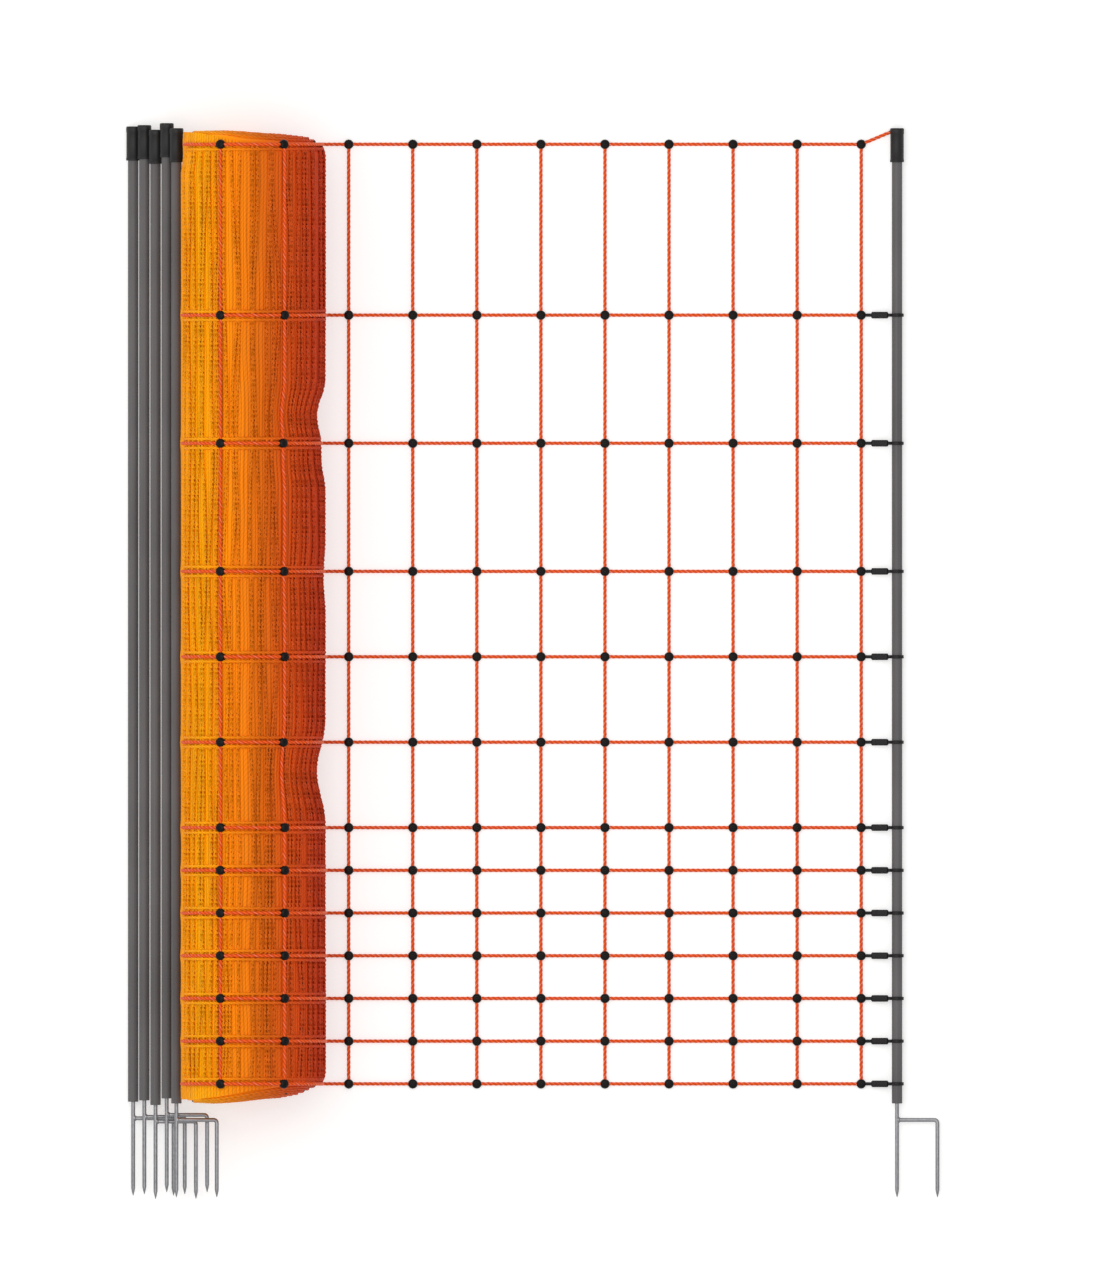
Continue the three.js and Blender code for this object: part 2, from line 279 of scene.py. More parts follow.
def along_x(x, y, z):
    return Matrix.Translation((x, y, z)) @ Matrix.Rotation(math.pi / 2, 4, "Y")


def along_y(x, y, z):
    return Matrix.Translation((x, y, z)) @ Matrix.Rotation(-math.pi / 2, 4, "X")


def between(start, end):
    turn = (end - start).to_track_quat("Z", "Y").to_matrix().to_4x4()
    return Matrix.Translation(start) @ turn


def length_at(table, radius):
    """Straight steps through a table of (radius, length) in millimetres."""
    spot = radius / MM
    for (r0, v0), (r1, v1) in zip(table, table[1:]):
        if spot <= r1:
            return (v0 + (v1 - v0) * max(0, spot - r0) / (r1 - r0)) * MM
    return table[-1][1] * MM


def smooth_step(low, high, value):
    share = min(max((value - low) / (high - low), 0), 1)
    return share * share * (3 - 2 * share)


# Material helpers

def linear(hex_colour):
    channels = [int(hex_colour[i:i + 2], 16) / 255 for i in (1, 3, 5)]
    return [c / 12.92 if c <= 0.04045 else ((c + 0.055) / 1.055) ** 2.4 for c in channels] + [1]


def start_material(name, **values):
    material = bpy.data.materials.new(name)
    material.use_nodes = True
    tree = material.node_tree
    shader = tree.nodes["Principled BSDF"]
    for socket, value in values.items():
        shader.inputs[socket.replace("_", " ")].default_value = value
    return material, tree, shader


def add_node(tree, kind, settings=None, values=None, links=None):
    node = tree.nodes.new(kind)
    for name, value in (settings or {}).items():
        setattr(node, name, value)
    for name, value in (values or {}).items():
        node.inputs[name].default_value = value
    for name, source in (links or {}).items():
        tree.links.new(source, node.inputs[name])
    return node


def add_math(tree, operation, *values):
    node = add_node(tree, "ShaderNodeMath", {"operation": operation})
    for socket, value in zip(node.inputs, values):
        if isinstance(value, (int, float)):
            socket.default_value = value
        else:
            tree.links.new(value, socket)
    return node.outputs["Value"]


def add_range(tree, value, low, high, to_low, to_high):
    node = add_node(tree, "ShaderNodeMapRange", links={"Value": value}, values={
        "From Min": low, "From Max": high, "To Min": to_low, "To Max": to_high,
    })
    return node.outputs["Result"]


def add_place(tree):
    return add_node(tree, "ShaderNodeTexCoord").outputs["Object"]


def add_attribute(tree, name):
    return add_node(tree, "ShaderNodeAttribute", {"attribute_name": name}).outputs["Fac"]


def add_noise(tree, place, cells, detail):
    """Soft cloudy noise with this many cells a metre."""
    scales = {"Scale": cells, "Detail": detail}
    node = add_node(tree, "ShaderNodeTexNoise", values=scales, links={"Vector": place})
    return node.outputs["Fac"]


def add_stretched_noise(tree, place, cells, detail):
    """Noise with its own number of cells a metre along each axis."""
    stretch = add_node(tree, "ShaderNodeMapping", values={"Scale": cells}, links={"Vector": place})
    return add_noise(tree, stretch.outputs["Vector"], 1, detail)


def add_blend(tree, share, first, second):
    """A colour between two others, which are hex colours or outputs of nodes."""
    node = add_node(tree, "ShaderNodeMix", {"data_type": "RGBA"}, links={"Factor": share})
    for name, colour in (("A", first), ("B", second)):
        if isinstance(colour, str):
            node.inputs[name].default_value = linear(colour)
        else:
            tree.links.new(colour, node.inputs[name])
    return node.outputs["Result"]


def add_bump(tree, shader, height, strength, distance):
    node = add_node(tree, "ShaderNodeBump", values={"Strength": strength, "Distance": distance},
                    links={"Height": height})
    tree.links.new(node.outputs["Normal"], shader.inputs["Normal"])
    return node


def add_filaments(tree, shader, place):
    """Fine filaments that make up each ply, 1.2 to a millimetre."""
    add_bump(tree, shader, add_noise(tree, place, 1.2 / MM, 1), 0.25, 0.2 * MM)


# Materials

def polyethylene_polywire():
    """Twisted orange polyethylene with fine steel conductors: satin plies, with painted shade where they
    meet.
    """
    material, tree, shader = start_material("polyethylene_polywire", Roughness=0.5, Specular_IOR_Level=0.2)
    place = add_place(tree)
    # Clouds of about 70 mm
    body = add_blend(tree, add_noise(tree, place, 14, 3), "#FA5A0E", "#FF6C20")
    # Painted shade: the valley colour darkens the strand where its plies meet
    plies = add_blend(tree, add_attribute(tree, "relief"), "#CC4209", body)
    # The attribute is 1 on one line of points, and the conductors are wires of about 0.4 mm on it
    wire = add_range(tree, add_attribute(tree, "conductor"), 0.7, 0.85, 0, 0.4)
    tree.links.new(add_blend(tree, wire, plies, "#C9B3A8"), shader.inputs["Base Color"])
    add_filaments(tree, shader, place)
    return material


def add_roll_light_and_shade(tree, place, tone):
    """Painted light and shade across the roll: lit amber on the side of the posts and shaded brick red on
    the other, times a tone.
    """
    across = add_node(tree, "ShaderNodeSeparateXYZ", links={"Vector": place}).outputs["X"]
    share = add_range(tree, across, ROLL_AXIS.x - ROLL_RADIUS, ROLL_AXIS.x + ROLL_RADIUS, 0, 1)
    ramp = add_node(tree, "ShaderNodeValToRGB", links={"Fac": share})
    points = ramp.color_ramp.elements
    while len(points) < len(ROLL_LIGHT_TO_SHADE_COLOURS):
        points.new(0.5)
    for point, (spot, colour) in zip(points, ROLL_LIGHT_TO_SHADE_COLOURS):
        point.position = spot
        point.color = linear(colour)
    shade = add_node(tree, "ShaderNodeVectorMath", {"operation": "SCALE"}, links={
        "Vector": ramp.outputs["Color"],
        "Scale": tone,
    })
    return shade.outputs["Vector"]


def add_packed_strands(tree, place):
    """Strands that lie side by side along the roll: their height, and that of the plies on them."""
    unrolled = add_node(tree, "ShaderNodeUVMap", {"uv_map": "unrolled"}).outputs["UV"]
    flat = add_node(tree, "ShaderNodeSeparateXYZ", links={"Vector": unrolled})
    # The strands wander over about 40 mm across and 200 mm along
    wander = add_stretched_noise(tree, place, (26, 5, 26), 2)
    sway = add_math(tree, "MULTIPLY", wander, PACKED_SWAY)
    strand = add_math(tree, "DIVIDE", add_math(tree, "ADD", flat.outputs["X"], sway), PACKED_PITCH)
    ridge = add_math(tree, "ABSOLUTE", add_math(tree, "SINE", add_math(tree, "MULTIPLY", strand, math.pi)))
    number = add_math(tree, "FLOOR", strand)
    own = add_node(tree, "ShaderNodeTexWhiteNoise", {"noise_dimensions": "1D"}, links={"W": number})
    # Three plies with one full turn in 18 mm show a slanted edge every 6 mm
    climb = add_math(tree, "DIVIDE", flat.outputs["Y"], PLY_PITCH / PLIES)
    phase = add_math(tree, "ADD", add_math(tree, "ADD", climb, strand), own.outputs["Value"])
    plies = add_math(tree, "SINE", add_math(tree, "MULTIPLY", phase, 2 * math.pi))
    return ridge, plies


def wound_netting():
    """Turn upon turn of orange polyethylene strands packed side by side, with painted shade in the gaps
    between them, along the ply edges and where the relief is low.
    """
    material, tree, shader = start_material("wound_netting", Roughness=0.65, Specular_IOR_Level=0.1)
    place = add_place(tree)
    ridge, plies = add_packed_strands(tree, place)
    # Painted shade: darker in the gaps between the packed strands and on one side of each ply edge
    gap_shade = add_range(tree, ridge, 0, 0.4, 0.55, 1)
    edge = add_range(tree, plies, -1, 0, 0.84, 1)
    packed_strand_shade = add_math(tree, "MULTIPLY", gap_shade, edge)
    # Only the round side of the roll has them
    side = add_attribute(tree, "side")
    kept = add_node(tree, "ShaderNodeMix", {"data_type": "FLOAT"}, {"A": 1.0}, {"Factor": side, "B": packed_strand_shade})
    # Painted shade: darker where the relief is low, in the valleys of the side, in the grooves between turns
    # on the ends and in the bore
    relief = add_range(tree, add_attribute(tree, "relief"), 0, 1, 0.85, 1.12)
    tone = add_math(tree, "MULTIPLY", kept.outputs["Result"], relief)
    # Painted light and shade across the roll, times the painted shade above
    tree.links.new(add_roll_light_and_shade(tree, place, tone), shader.inputs["Base Color"])
    round_top = add_math(tree, "POWER", ridge, 0.6)
    height = add_math(tree, "MULTIPLY", round_top, add_range(tree, plies, -1, 1, 0.7, 1))
    bump = add_bump(tree, shader, height, 0, 1 * MM)
    tree.links.new(add_math(tree, "MULTIPLY", side, 0.7), bump.inputs["Strength"])
    return material


def wound_strand():
    """Single orange polyethylene strands of the roll, with painted shade where the plies meet."""
    material, tree, shader = start_material("wound_strand", Roughness=0.6, Specular_IOR_Level=0.12)
    place = add_place(tree)
    # Painted shade: darker where the plies meet
    ply_valley_shade = add_range(tree, add_attribute(tree, "relief"), 0, 1, 0.74, 1.06)
    # Clouds of 25 mm
    fade = add_range(tree, add_noise(tree, place, 40, 3), 0.3, 0.7, 0.9, 1.05)
    tone = add_math(tree, "MULTIPLY", ply_valley_shade, fade)
    # Painted light and shade across the roll, times the painted shade above
    tree.links.new(add_roll_light_and_shade(tree, place, tone), shader.inputs["Base Color"])
    add_filaments(tree, shader, place)
    return material


def moulded_plastic(name, dark, light, roughness, grain, shine):
    """Moulded plastic: an even tone with a fine eroded texture and slightly uneven gloss."""
    material, tree, shader = start_material(name, Specular_IOR_Level=shine)
    place = add_place(tree)
    # Clouds of about 30 mm
    cloud = add_noise(tree, place, 30, 4)
    tree.links.new(add_blend(tree, cloud, dark, light), shader.inputs["Base Color"])
    gloss = add_range(tree, cloud, 0, 1, roughness - 0.06, roughness + 0.08)
    tree.links.new(gloss, shader.inputs["Roughness"])
    add_bump(tree, shader, add_noise(tree, place, 1 / grain, 2), 0.3, grain / 4)
    return material


def extruded_plastic():
    """Grey rigid plastic drawn through a die: fine lines along the post and a dull sheen."""
    material, tree, shader = start_material("extruded_plastic", Roughness=0.6, Specular_IOR_Level=0.35)
    place = add_place(tree)
    # Die lines every 0.5 mm across and 0.5 m long, over clouds of about 110 mm
    lines = add_stretched_noise(tree, place, (2 / MM, 2, 2 / MM), 2)
    cloud = add_noise(tree, place, 9, 5)
    share = add_range(tree, add_math(tree, "ADD", lines, cloud), 0.7, 1.3, 0, 1)
    tree.links.new(add_blend(tree, share, "#504E4F", "#636162"), shader.inputs["Base Color"])
    add_bump(tree, shader, lines, 0.2, 0.1 * MM)
    return material


def galvanised_steel():
    """Zinc-coated round rod: pale grey metal with soft cloudy crystals."""
    material, tree, shader = start_material("galvanised_steel", Metallic=1.0)
    place = add_place(tree)
    # Zinc crystals of 4 mm, in clouds of about 17 mm
    zinc = add_node(tree, "ShaderNodeTexVoronoi", values={"Scale": 250}, links={"Vector": place})
    cloud = add_noise(tree, place, 60, 4)
    share = add_node(tree, "ShaderNodeMix", {"data_type": "FLOAT"}, {"Factor": 0.5}, {
        "A": zinc.outputs["Distance"],
        "B": cloud,
    })
    tone = add_blend(tree, share.outputs["Result"], "#7C7C7F", "#A4A4A7")
    tree.links.new(tone, shader.inputs["Base Color"])
    tree.links.new(add_range(tree, cloud, 0, 1, 0.3, 0.5), shader.inputs["Roughness"])
    return material


def painted_floor():
    """Matt white studio floor, lit a little from within so that shadows on it stay pale."""
    material, _, shader = start_material(
        "painted_floor", Roughness=0.9, Specular_IOR_Level=0.1, Emission_Strength=0.47,
    )
    shader.inputs["Base Color"].default_value = linear("#CFCFCE")
    shader.inputs["Emission Color"].default_value = linear("#FFFFFF")
    return material


# Strands

def twisted_strand(length, points=SECTION_POINTS, ply_steps=PLY_STEPS):
    """Three plies twisted about +Z from the origin, made by turning their outline as it climbs."""
    bm = bmesh.new()
    bmesh.ops.create_circle(bm, cap_ends=False, radius=STRAND_DIAMETER / 2, segments=points)
    for index, vert in enumerate(bm.verts):
        if index % (points // PLIES):
            vert.co *= PLY_VALLEY
    steps = max(2, round(ply_steps * length / PLY_PITCH))
    bmesh.ops.spin(
        bm, geom=bm.verts[:] + bm.edges[:], cent=(0, 0, 0), axis=(0, 0, 1),
        dvec=(0, 0, length / steps), angle=2 * math.pi * length / PLY_PITCH, steps=steps,
        use_merge=False, use_duplicate=False,
    )
    close_ends(bm)
    mark_plies(bm, points)
    return pattern_mesh("strand_pattern", bm)


def mark_plies(bm, points):
    """Tells the materials how far out a point lies, and which line of points is the conductor."""
    relief = bm.verts.layers.float.new("relief")
    conductor = bm.verts.layers.float.new("conductor")
    for vert in bm.verts:
        x, y, z = vert.co
        reach = math.hypot(x, y) / (STRAND_DIAMETER / 2)
        # The materials paint shade where this is low, between the plies
        vert[relief] = smooth_step(PLY_VALLEY, 1, reach)
        # The circle's first point lies on +Y
        turned = math.atan2(y, x) - 2 * math.pi * z / PLY_PITCH - math.pi / 2
        point = round(turned / (2 * math.pi) * points) % points
        vert[conductor] = 1.0 if point == 0 else 0.0


def roll_radius(angle, y):
    """Radius of the wound body at an angle about its axis and a place along it, before its relief."""
    toward_net = smooth_step(-0.4, 0.8, math.cos(angle))
    height = y - BOTTOM_ROW
    radius = ROLL_RADIUS
    for centre, depth, below, above in ROLL_WAISTS:
        share = min(abs(height - centre) / (below if height < centre else above), 1)
        radius -= depth * (1 + math.cos(math.pi * share)) / 2 * toward_net
    radius += POST_SIDE_FILL * smooth_step(0.75, 1, -math.cos(angle))
    beside_cap = smooth_step(-CAP_DENT_START, CAP_DENT_END, y - UPPER_CAP_FOOT)
    return radius - CAP_DENT * beside_cap * smooth_step(0.55, 0.95, -math.cos(angle))


def strand_radius(angle, y):
    """Where the middle of an outer strand lies: on the body, but pressed in beside the posts."""
    pressed = PRESSED_IN * smooth_step(0.9, 1, -math.cos(angle))
    past_ends = 1 - smooth_step(0, SHOULDER_REACH, min(y - BOTTOM_ROW, TOP_ROW - y))
    drawn = SHOULDER_DRAW * past_ends * smooth_step(-0.1, 1, math.cos(angle))
    return roll_radius(angle, y) + STRAND_DIAMETER / 2 - pressed - drawn


def on_roll(radius, angle, y):
    return Vector((ROLL_AXIS.x + radius * math.cos(angle), y, ROLL_AXIS.z + radius * math.sin(angle)))


def build_net_strands(material):
    bm = bmesh.new()
    row = twisted_strand(LAST_COLUMN - ROLL_AXIS.x)
    for y in ROW_HEIGHTS:
        stamp(bm, row, along_x(ROLL_AXIS.x, y, STRAND_HEIGHT))
    column = twisted_strand(TOP_ROW - BOTTOM_ROW)
    for x in COLUMNS:
        stamp(bm, column, along_y(x, BOTTOM_ROW, STRAND_HEIGHT))
    cap_low, cap_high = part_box("end_post_cap")
    start = Vector((LAST_COLUMN, TOP_ROW, STRAND_HEIGHT))
    end = Vector((cap_low.x + TIE_DEPTH_IN_CAP, cap_high.y - TIE_DROP_FROM_CAP_TOP, END_AXIS.z))
    stamp(bm, twisted_strand((end - start).length), between(start, end))
    return new_strands("net_strands", bm, material, "open_net")


def lay_ring(bm, ring, y, sunk=0.0, tilt=0.0, turn=0.0):
    """Bends a straight strand once around the roll, closed under it, with a slight slant."""
    for vert in stamp(bm, ring):
        outward, sideways, along = vert.co
        angle = 2 * math.pi * along / RING_LENGTH - math.pi / 2
        height = y + tilt * math.cos(angle + turn)
        vert.co = on_roll(strand_radius(angle, height) - sunk + outward, angle, height + sideways)


def lay_upright(bm, upright, angle, sunk=0.0, sway=0.0):
    """Lays a straight strand along the roll, where it sways a little to both sides."""
    for vert in stamp(bm, upright):
        outward, sideways, along = vert.co
        y = BOTTOM_ROW + along
        swayed = angle + sway * noise.noise(Vector((9 * angle, 0, 6 * along)))
        radius = strand_radius(swayed, y) - sunk
        vert.co = on_roll(radius + outward, swayed + sideways / radius, y)


def build_roll_strands(material):
    bm = bmesh.new()
    ring = twisted_strand(RING_LENGTH)
    for y in ROW_HEIGHTS:
        lay_ring(bm, ring, y)
    upright = twisted_strand(TOP_ROW - BOTTOM_ROW)
    for degrees in UPRIGHT_ANGLES:
        lay_upright(bm, upright, math.radians(degrees))
    return new_strands("roll_strands", bm, material, "net_roll")


def build_under_rows(material):
    """Row strands of the turns below, beside the outer ones and partly sunk."""
    bm = bmesh.new()
    ring = twisted_strand(RING_LENGTH, UNDER_POINTS, UNDER_PLY_STEPS)
    for index, y in enumerate(ROW_HEIGHTS):
        for side in (-1, 1):
            away = noise.noise(Vector((index * 1.7, side * 2.3, 0.4)))
            height = y + side * (UNDER_ROW_OFFSET + UNDER_ROW_STRAY * away)
            sunk = UNDER_ROW_SINK + UNDER_ROW_SINK_STRAY * away
            if BOTTOM_ROW < height < TOP_ROW:
                lay_ring(bm, ring, height, sunk, UNDER_ROW_SLANT * away, index * 2.1)
    return new_strands("roll_under_rows", bm, material, "net_roll")


def build_under_uprights(material):
    """Uprights of the turns below, at uneven places and partly sunk between their neighbours."""
    bm = bmesh.new()
    upright = twisted_strand(TOP_ROW - BOTTOM_ROW, UNDER_POINTS, UNDER_UPRIGHT_STEPS)
    for index in range(UNDER_UPRIGHTS):
        away = noise.noise(Vector((index * 1.3, 5.2, 0.7)))
        angle = 2 * math.pi * (index + UNDER_UPRIGHT_STRAY * away) / UNDER_UPRIGHTS
        sunk = UNDER_UPRIGHT_SINK + UNDER_UPRIGHT_SINK_STRAY * away
        lay_upright(bm, upright, angle, sunk, UNDER_UPRIGHT_SWAY)
    return new_strands("roll_under_uprights", bm, material, "net_roll")


# Ends of the roll, where outward is 1 at the caps' end and -1 at the spikes' end

def end_height(outward, radius, angle, sink):
    """How far up the fence a point on an end of the roll lies."""
    near_posts, near_net = TOP_END if outward > 0 else FOOT_END
    toward_net = smooth_step(-1, 1, math.cos(angle))
    posts_side = length_at(near_posts, radius)
    net_side = length_at(near_net, radius)
    reach = posts_side + (net_side - posts_side) * toward_net - sink
    return TOP_ROW + reach if outward > 0 else BOTTOM_ROW - reach


def end_place(turn, outward, sink):
    """Place on the spiral of turns on one end of the roll."""
    angle = 2 * math.pi * turn
    radius = FIRST_TURN_RADIUS + TURN_PITCH * turn
    return radius, angle, end_height(outward, radius, angle, sink)


def turn_at(length):
    """How many turns out from the bore a strand has made after this length."""
    start = FIRST_TURN_RADIUS
    return (math.sqrt(start * start + length * TURN_PITCH / math.pi) - start) / TURN_PITCH


def build_end_strands(material):
    """Outermost strand of the net, wound in a spiral on both ends of the roll."""
    bm = bmesh.new()
    strand = twisted_strand(END_STRAND_LENGTH, UNDER_POINTS, UNDER_PLY_STEPS)
    for outward in (-1, 1):
        for vert in stamp(bm, strand):
            sideways, ahead, along = vert.co
            radius, angle, y = end_place(turn_at(along), outward, END_SINK)
            vert.co = on_roll(radius + sideways, angle, y + ahead)
    return new_strands("roll_end_strands", bm, material, "net_roll")


def build_end_joints(material):
    """Joints on the spirals, left out near the top, where they would stand out past the strands."""
    bm = bmesh.new()
    joint = joint_pattern(8)
    for outward in (-1, 1):
        for index in range(int(END_STRAND_LENGTH / COLUMN_SPACING)):
            turn = turn_at((index + 0.6) * COLUMN_SPACING)
            radius, angle, y = end_place(turn, outward, END_JOINT_SINK)
            if radius * math.sin(angle) <= END_JOINT_TOP:
                stamp(bm, joint, joint_place(radius, angle, y))
    return new_piece("roll_end_joints", bm, material, ["net_roll"])


# Moulded joints

def joint_pattern(steps=12):
    """A low round button about Z with a sunk gate mark in its middle."""
    half = JOINT_THICKNESS / 2
    edge = JOINT_DIAMETER / 2
    side = [
        (0, 0.82 * half), (0.2 * edge, 0.82 * half), (0.32 * edge, half), (0.72 * edge, 0.93 * half),
        (0.93 * edge, 0.6 * half), (edge, 0.12 * half),
    ]
    profile = side + [(radius, -height) for radius, height in reversed(side)]
    bm = bmesh.new()
    spin_profile(bm, profile, steps)
    bmesh.ops.rotate(bm, verts=bm.verts, cent=(0, 0, 0), matrix=Matrix.Rotation(math.pi / 2, 3, "X"))
    return pattern_mesh("joint_pattern", bm)


def joint_place(radius, angle, y):
    """Puts a joint on the roll, with its flat face outward."""
    return Matrix.Translation(on_roll(radius, angle, y)) @ Matrix.Rotation(math.pi / 2 - angle, 4, "Y")


def build_net_joints(material):
    bm = bmesh.new()
    joint = joint_pattern()
    for x in COLUMNS:
        for y in ROW_HEIGHTS:
            stamp(bm, joint, Matrix.Translation((x, y, STRAND_HEIGHT)))
    return new_piece("net_joints", bm, material, ["open_net"])


def build_roll_joints(material):
    bm = bmesh.new()
    joint = joint_pattern()
    for degrees in UPRIGHT_ANGLES:
        angle = math.radians(degrees)
        for y in ROW_HEIGHTS:
            stamp(bm, joint, joint_place(strand_radius(angle, y), angle, y))
    return new_piece("roll_joints", bm, material, ["net_roll"])


# Wound body of the roll

def turn_groove(radius, angle):
    """How round each wound turn is at a place on the spiral, from 0 in its groove, and how deep."""
    turns = (radius - ROLL_BORE) / TURN_PITCH - angle / (2 * math.pi)
    edge = abs(math.sin(math.pi * turns)) ** 0.6
    uneven = noise.noise(Vector((math.floor(turns) * 3.7, 3 * math.cos(angle), 3 * math.sin(angle))))
    return edge, TURN_GROOVE * (1 - edge) + TURN_UNEVEN * uneven


def layer_relief(angle, y):
    """Height of the strands that lie along the roll under its outer turn, from 0 to 1."""
    first, second = LAYER_RIDGES
    spot = Vector((math.cos(angle) * 4, math.sin(angle) * 4, y * 3))
    other_spot = spot * 1.3 + Vector((7, 0, 0))
    over = abs(math.sin(first * angle / 2 + 2.4 * noise.noise(spot)))
    under = 0.8 * abs(math.sin(second * angle / 2 + 3.5 * noise.noise(other_spot)))
    swell = 0.75 + 0.25 * noise.noise(spot * 2)
    return min(max(max(over, under) * swell, 0), 1)


def steps_along_roll():
    """Heights for the rings of the roll's mesh: close together at each row, wider in between."""
    near = [row + step for row in ROW_HEIGHTS for step in ROW_STEPS]
    heights = [y for y in near if BOTTOM_ROW < y < TOP_ROW]
    gaps = []
    for low, high in zip(heights, heights[1:]):
        count = math.floor((high - low) / ROLL_STEP_ALONG)
        gaps += [low + (high - low) * i / (count + 1) for i in range(1, count + 1)]
    return sorted(heights + gaps)


def roll_outline():
    """The plain roll's foot end, side, top end and bore, as (radius, height) points."""
    wall = ROLL_RADIUS - ROLL_BORE
    outs = [ROLL_BORE + wall * i / ROLL_STEPS_OUT for i in range(ROLL_STEPS_OUT + 1)]
    downs = [TOP_ROW + (BOTTOM_ROW - TOP_ROW) * i / BORE_STEPS for i in range(1, BORE_STEPS + 1)]
    points = [(radius, BOTTOM_ROW) for radius in outs]
    points += [(ROLL_RADIUS, y) for y in steps_along_roll()]
    points += [(radius, TOP_ROW) for radius in reversed(outs)]
    points += [(ROLL_BORE, y) for y in downs]
    return points


def shaped_side(radius, angle, y):
    """Stretches the side to both ends, and gives it its waists and relief."""
    near_top = 1 - smooth_step(0, END_STRETCH, TOP_ROW - y)
    near_foot = 1 - smooth_step(0, END_STRETCH, y - BOTTOM_ROW)
    past_top = end_height(1, radius, angle, 0) - TOP_ROW
    past_foot = BOTTOM_ROW - end_height(-1, radius, angle, 0)
    y += past_top * near_top - past_foot * near_foot
    height = layer_relief(angle, y)
    swell = max(math.exp(-((y - row) / ROW_SWELL_REACH) ** 2) for row in ROW_HEIGHTS)
    radius = roll_radius(angle, y) - LAYER_RELIEF * (1 - height) + ROW_SWELL * (swell - 1)
    return radius, y, height


def shaped_end(radius, angle, outward):
    """Gives an end its spiral of rounded turns, which fades out at the rim."""
    edge, groove = turn_groove(radius, angle)
    fade = smooth_step(0, END_FADE, ROLL_RADIUS - radius)
    y = end_height(outward, radius, angle, (groove + END_SINK) * fade)
    return radius * roll_radius(angle, y) / ROLL_RADIUS, y, edge


def shape_core(bm):
    """Shapes the plain roll, and tells its material where the side and the relief are, from which it paints
    shade where the relief is low.
    """
    relief = bm.verts.layers.float.new("relief")
    side = bm.verts.layers.float.new("side")
    for vert in bm.verts:
        radius = math.hypot(vert.co.x, vert.co.z)
        angle = math.atan2(vert.co.z, vert.co.x)
        y = vert.co.y
        height = BORE_SHADE_RELIEF
        on_side = radius > ROLL_RADIUS - TOUCHING
        if on_side:
            radius, y, height = shaped_side(radius, angle, y)
        elif abs(y - BOTTOM_ROW) < TOUCHING:
            radius, y, height = shaped_end(radius, angle, -1)
        elif abs(y - TOP_ROW) < TOUCHING:
            radius, y, height = shaped_end(radius, angle, 1)
        # Low relief becomes painted shade in the material
        vert[relief] = height
        vert[side] = 1.0 if on_side else 0.0
        vert.co = on_roll(radius, angle, y)


def unroll_core(bm):
    """Lays the side out flat in a UV map in metres: around the roll across, and along it up."""
    unrolled = bm.loops.layers.uv.new("unrolled")
    for face in bm.faces:
        centre = face.calc_center_median() - ROLL_AXIS
        for loop in face.loops:
            spot = loop.vert.co - ROLL_AXIS
            angle = math.atan2(spot.z, spot.x)
            # Faces that touch the seam keep all their corners on their own side of it
            if centre.x < 0 and angle * centre.z < 0:
                angle += 2 * math.pi if angle < 0 else -2 * math.pi
            loop[unrolled].uv = (angle * ROLL_RADIUS, loop.vert.co.y)


def build_roll_core(material):
    bm = bmesh.new()
    spin_profile(bm, roll_outline(), ROLL_STEPS_ROUND)
    shape_core(bm)
    bmesh.ops.recalc_face_normals(bm, faces=bm.faces)
    unroll_core(bm)
    return new_piece("roll_core", bm, material, ["net_roll"], sharp=70)


# Posts and caps

def turned_piece(name, profile, centre, material, node):
    bm = bmesh.new()
    spin_profile(bm, profile, 40)
    bmesh.ops.translate(bm, verts=bm.verts, vec=(centre.x, 0, centre.z))
    return new_piece(name, bm, material, [node], sharp=35)


def build_post(node, material):
    """A round bar with softened corners and a hole in its foot for the spike."""
    low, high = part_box(node)
    radius = (high.x - low.x) / 2
    spike_low, spike_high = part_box(node + "_spike")
    bore = (spike_high.z - spike_low.z) / 2 + FIT
    bore_top = spike_high.y + FIT
    lead_in = 0.4 * MM
    profile = [
        (0, bore_top), (bore, bore_top), (bore, low.y + lead_in), (bore + lead_in, low.y),
        (radius - POST_CORNER, low.y), (radius, low.y + POST_CORNER), (radius, high.y - POST_CORNER),
        (radius - POST_CORNER, high.y), (0, high.y),
    ]
    turned_piece(node + "_bar", profile, middle(node), material, node)


def build_cap(node, material):
    """A cup with a rounded head, a bead at its rim and a shallow grip groove."""
    low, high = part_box(node + "_cap")
    radius = (high.x - low.x) / 2
    bore = width(node) / 2 + FIT
    ceiling = high.y - CAP_TOP_WALL
    grip = radius - CAP_GRIP_DEPTH
    quarter = [step * math.pi / 8 for step in range(4, -1, -1)]
    crown = [
        (radius - CAP_EDGE * (1 - math.sin(turn)), high.y - CAP_EDGE * (1 - math.cos(turn)))
        for turn in quarter
    ]
    profile = [
        (0, ceiling), (bore, ceiling), (bore, low.y), (radius - POST_CORNER, low.y),
        (radius, low.y + POST_CORNER), (radius, low.y + 3 * MM), (grip, low.y + 3.5 * MM),
        (grip, high.y - 7 * MM), (radius, high.y - 6.5 * MM),
    ] + crown + [(0, high.y)]
    turned_piece(node + "_cap_cup", profile, (low + high) / 2, material, node + "_cap")


# Ground spikes

def straight_leg(radius, top, tip):
    """A round rod with a point at its lower end."""
    bm = bmesh.new()
    spin_profile(bm, [
        (0, tip), (POINT_TIP * radius, tip + 0.15 * MM), (POINT_MIDDLE * radius, tip + 0.5 * SPIKE_POINT),
        (radius, tip + SPIKE_POINT), (radius, top), (0, top),
    ], ROD_SIDES)
    return pattern_mesh("straight_leg_pattern", bm)


def rim_points(rim):
    return list(dict.fromkeys(vert for edge in rim for vert in edge.verts))


